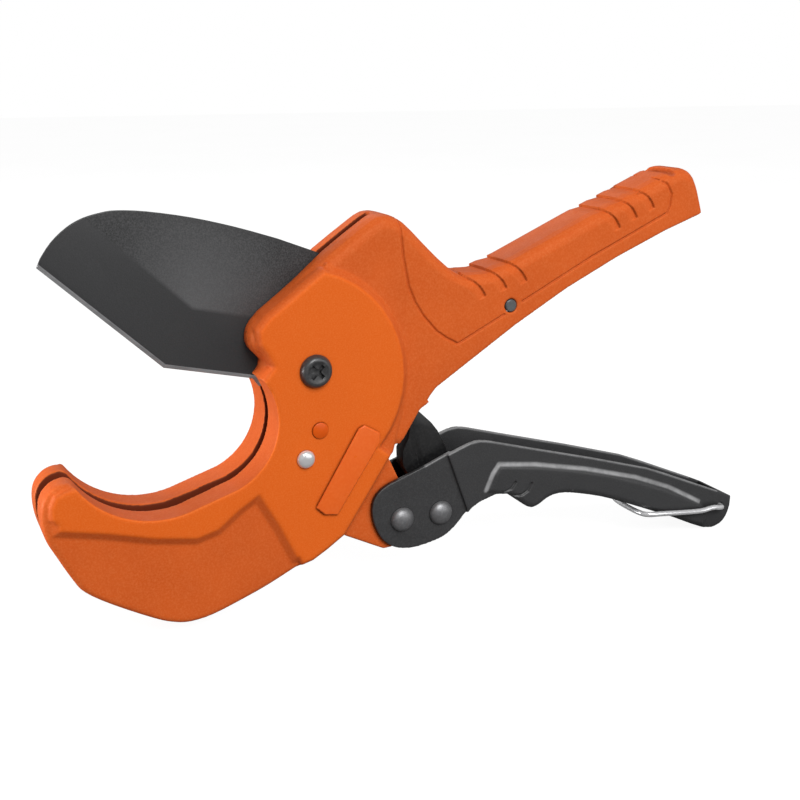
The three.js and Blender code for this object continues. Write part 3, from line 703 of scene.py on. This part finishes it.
RINGS = [
    ("pivot_nut", "frame"), ("pivot_nut_washer", "frame"), ("blade_washer_near", "frame"),
    ("blade_washer_far", "frame"), ("holding_pawl_spacer", "frame"), ("holding_pin_clip", "frame"),
    ("fulcrum_sleeve", "frame"), ("pawl_spacer", "handle"),
]
for node, body in RINGS:
    edged(node, node + "_body", body, PIN_STEEL, 0.2)
edged("pivot_bush", "pivot_bush_body", "frame", BRIGHT_STEEL, 0.2)

bail = round_wire("lock_bail", "lock_bail_body", 0.06)
stand_for(bail, "lock_bail", "bail", CHROME)


def build_spring(node):
    """A spring's coil in place of the CAD wire: rounded off, shaded bright steel and baked where it stands.
    """
    coil = shade(round_wire(node, node + "_coil", 0.06), BRIGHT_STEEL)
    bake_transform(coil)
    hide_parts(node)


def build_springs():
    build_spring("blade_return_spring")
    for node, bodies, centre in (
        ("holding_pawl_spring", ("frame", "holding_pawl"), HOLD_PIN),
        ("handle_return_spring", ("frame", "handle"), FULCRUM),
        ("drive_pawl_spring", ("handle", "drive_pawl"), PAWL_RIVET),
    ):
        build_spring(node)


build_springs()

# ---- studio ------------------------------------------------------------------------------------

CAMERA_AZIMUTH = math.radians(-25.0)
CAMERA_ELEVATION = math.radians(16.2)
CAMERA_AT = at(-174.0, -480.1, 129.6)
LENS = 51.3

FLOOR_REACH = 6                              # metres from the middle to each side
FLOOR_GAP = 0.5 * MM
FLOOR_GLOW = 0.92                            # keeps the floor near white in the picture, casts no light


def build_floor():
    work = bmesh.new()
    bmesh.ops.create_grid(work, x_segments=1, y_segments=1, size=FLOOR_REACH)
    mesh = bpy.data.meshes.new("floor")
    work.to_mesh(mesh)
    work.free()
    floor = bpy.data.objects.new("floor", mesh)
    bpy.context.scene.collection.objects.link(floor)
    floor.location.z = LOWEST - FLOOR_GAP
    n = Nodes("pale_floor")
    tone = n.mix(n.ramp(n.noise(3, 2), 0.3, 0.7), rgb(112, 112, 112), rgb(118, 118, 118))
    seen = n.add("ShaderNodeLightPath").outputs["Is Camera Ray"]
    n.finish(base_color=tone, roughness=0.9, emission_color=(1, 1, 1, 1))
    n.set(n.shader.inputs["Emission Strength"], n.math("MULTIPLY", seen, FLOOR_GLOW))
    n.set(n.shader.inputs["Specular IOR Level"], 0.0)
    mesh.materials.append(n.material)


# Soft round lights: name, place in mm from the blade pivot, diameter in metres, power in watts.
LIGHTS = [
    ("key", (0, -2000, 1700), 1.4, 58),
    ("fill", (700, -1200, 250), 1.0, 4),
    ("side", (-1000, 250, -50), 0.5, 17),
    ("back", (300, 1600, 1300), 1.2, 5),
]
MIDDLE = at(60, 0, -10)
AMBIENT = 0.32                               # the white surroundings' light on the tool


def add_light(name, place, target, size, power):
    data = bpy.data.lights.new(name, "AREA")
    data.shape = "DISK"
    data.size = size
    data.energy = power
    light = bpy.data.objects.new(name, data)
    light.location = place
    light.rotation_euler = (target - place).to_track_quat("-Z", "Y").to_euler()
    bpy.context.scene.collection.objects.link(light)


def build_studio():
    build_floor()
    for name, place, size, power in LIGHTS:
        add_light(name, at(*place), MIDDLE, size, power)
    world = bpy.data.worlds.new("studio")
    world.use_nodes = True
    tree = world.node_tree
    background = tree.nodes["Background"]
    path = tree.nodes.new("ShaderNodeLightPath")
    mix = tree.nodes.new("ShaderNodeMix")
    mix.data_type = "FLOAT"
    mix.inputs[2].default_value = AMBIENT
    mix.inputs[3].default_value = 1.0
    tree.links.new(path.outputs["Is Camera Ray"], mix.inputs[0])
    tree.links.new(mix.outputs[0], background.inputs["Strength"])
    background.inputs["Color"].default_value = (1, 1, 1, 1)
    bpy.context.scene.world = world
    bpy.context.scene.view_settings.view_transform = "Standard"


def build_camera():
    camera = bpy.data.objects.new("camera", bpy.data.cameras.new("camera"))
    camera.data.lens = LENS
    camera.data.sensor_width = 36
    sin_a, cos_a = math.sin(CAMERA_AZIMUTH), math.cos(CAMERA_AZIMUTH)
    sin_e, cos_e = math.sin(CAMERA_ELEVATION), math.cos(CAMERA_ELEVATION)
    right = Vector((cos_a, sin_a, 0))
    back = Vector((sin_a * cos_e, -cos_a * cos_e, sin_e))
    up = back.cross(right)
    turn = Matrix((right, up, back)).transposed().to_4x4()
    camera.matrix_world = Matrix.Translation(CAMERA_AT) @ turn
    bpy.context.scene.collection.objects.link(camera)
    bpy.context.scene.camera = camera


build_studio()
build_camera()
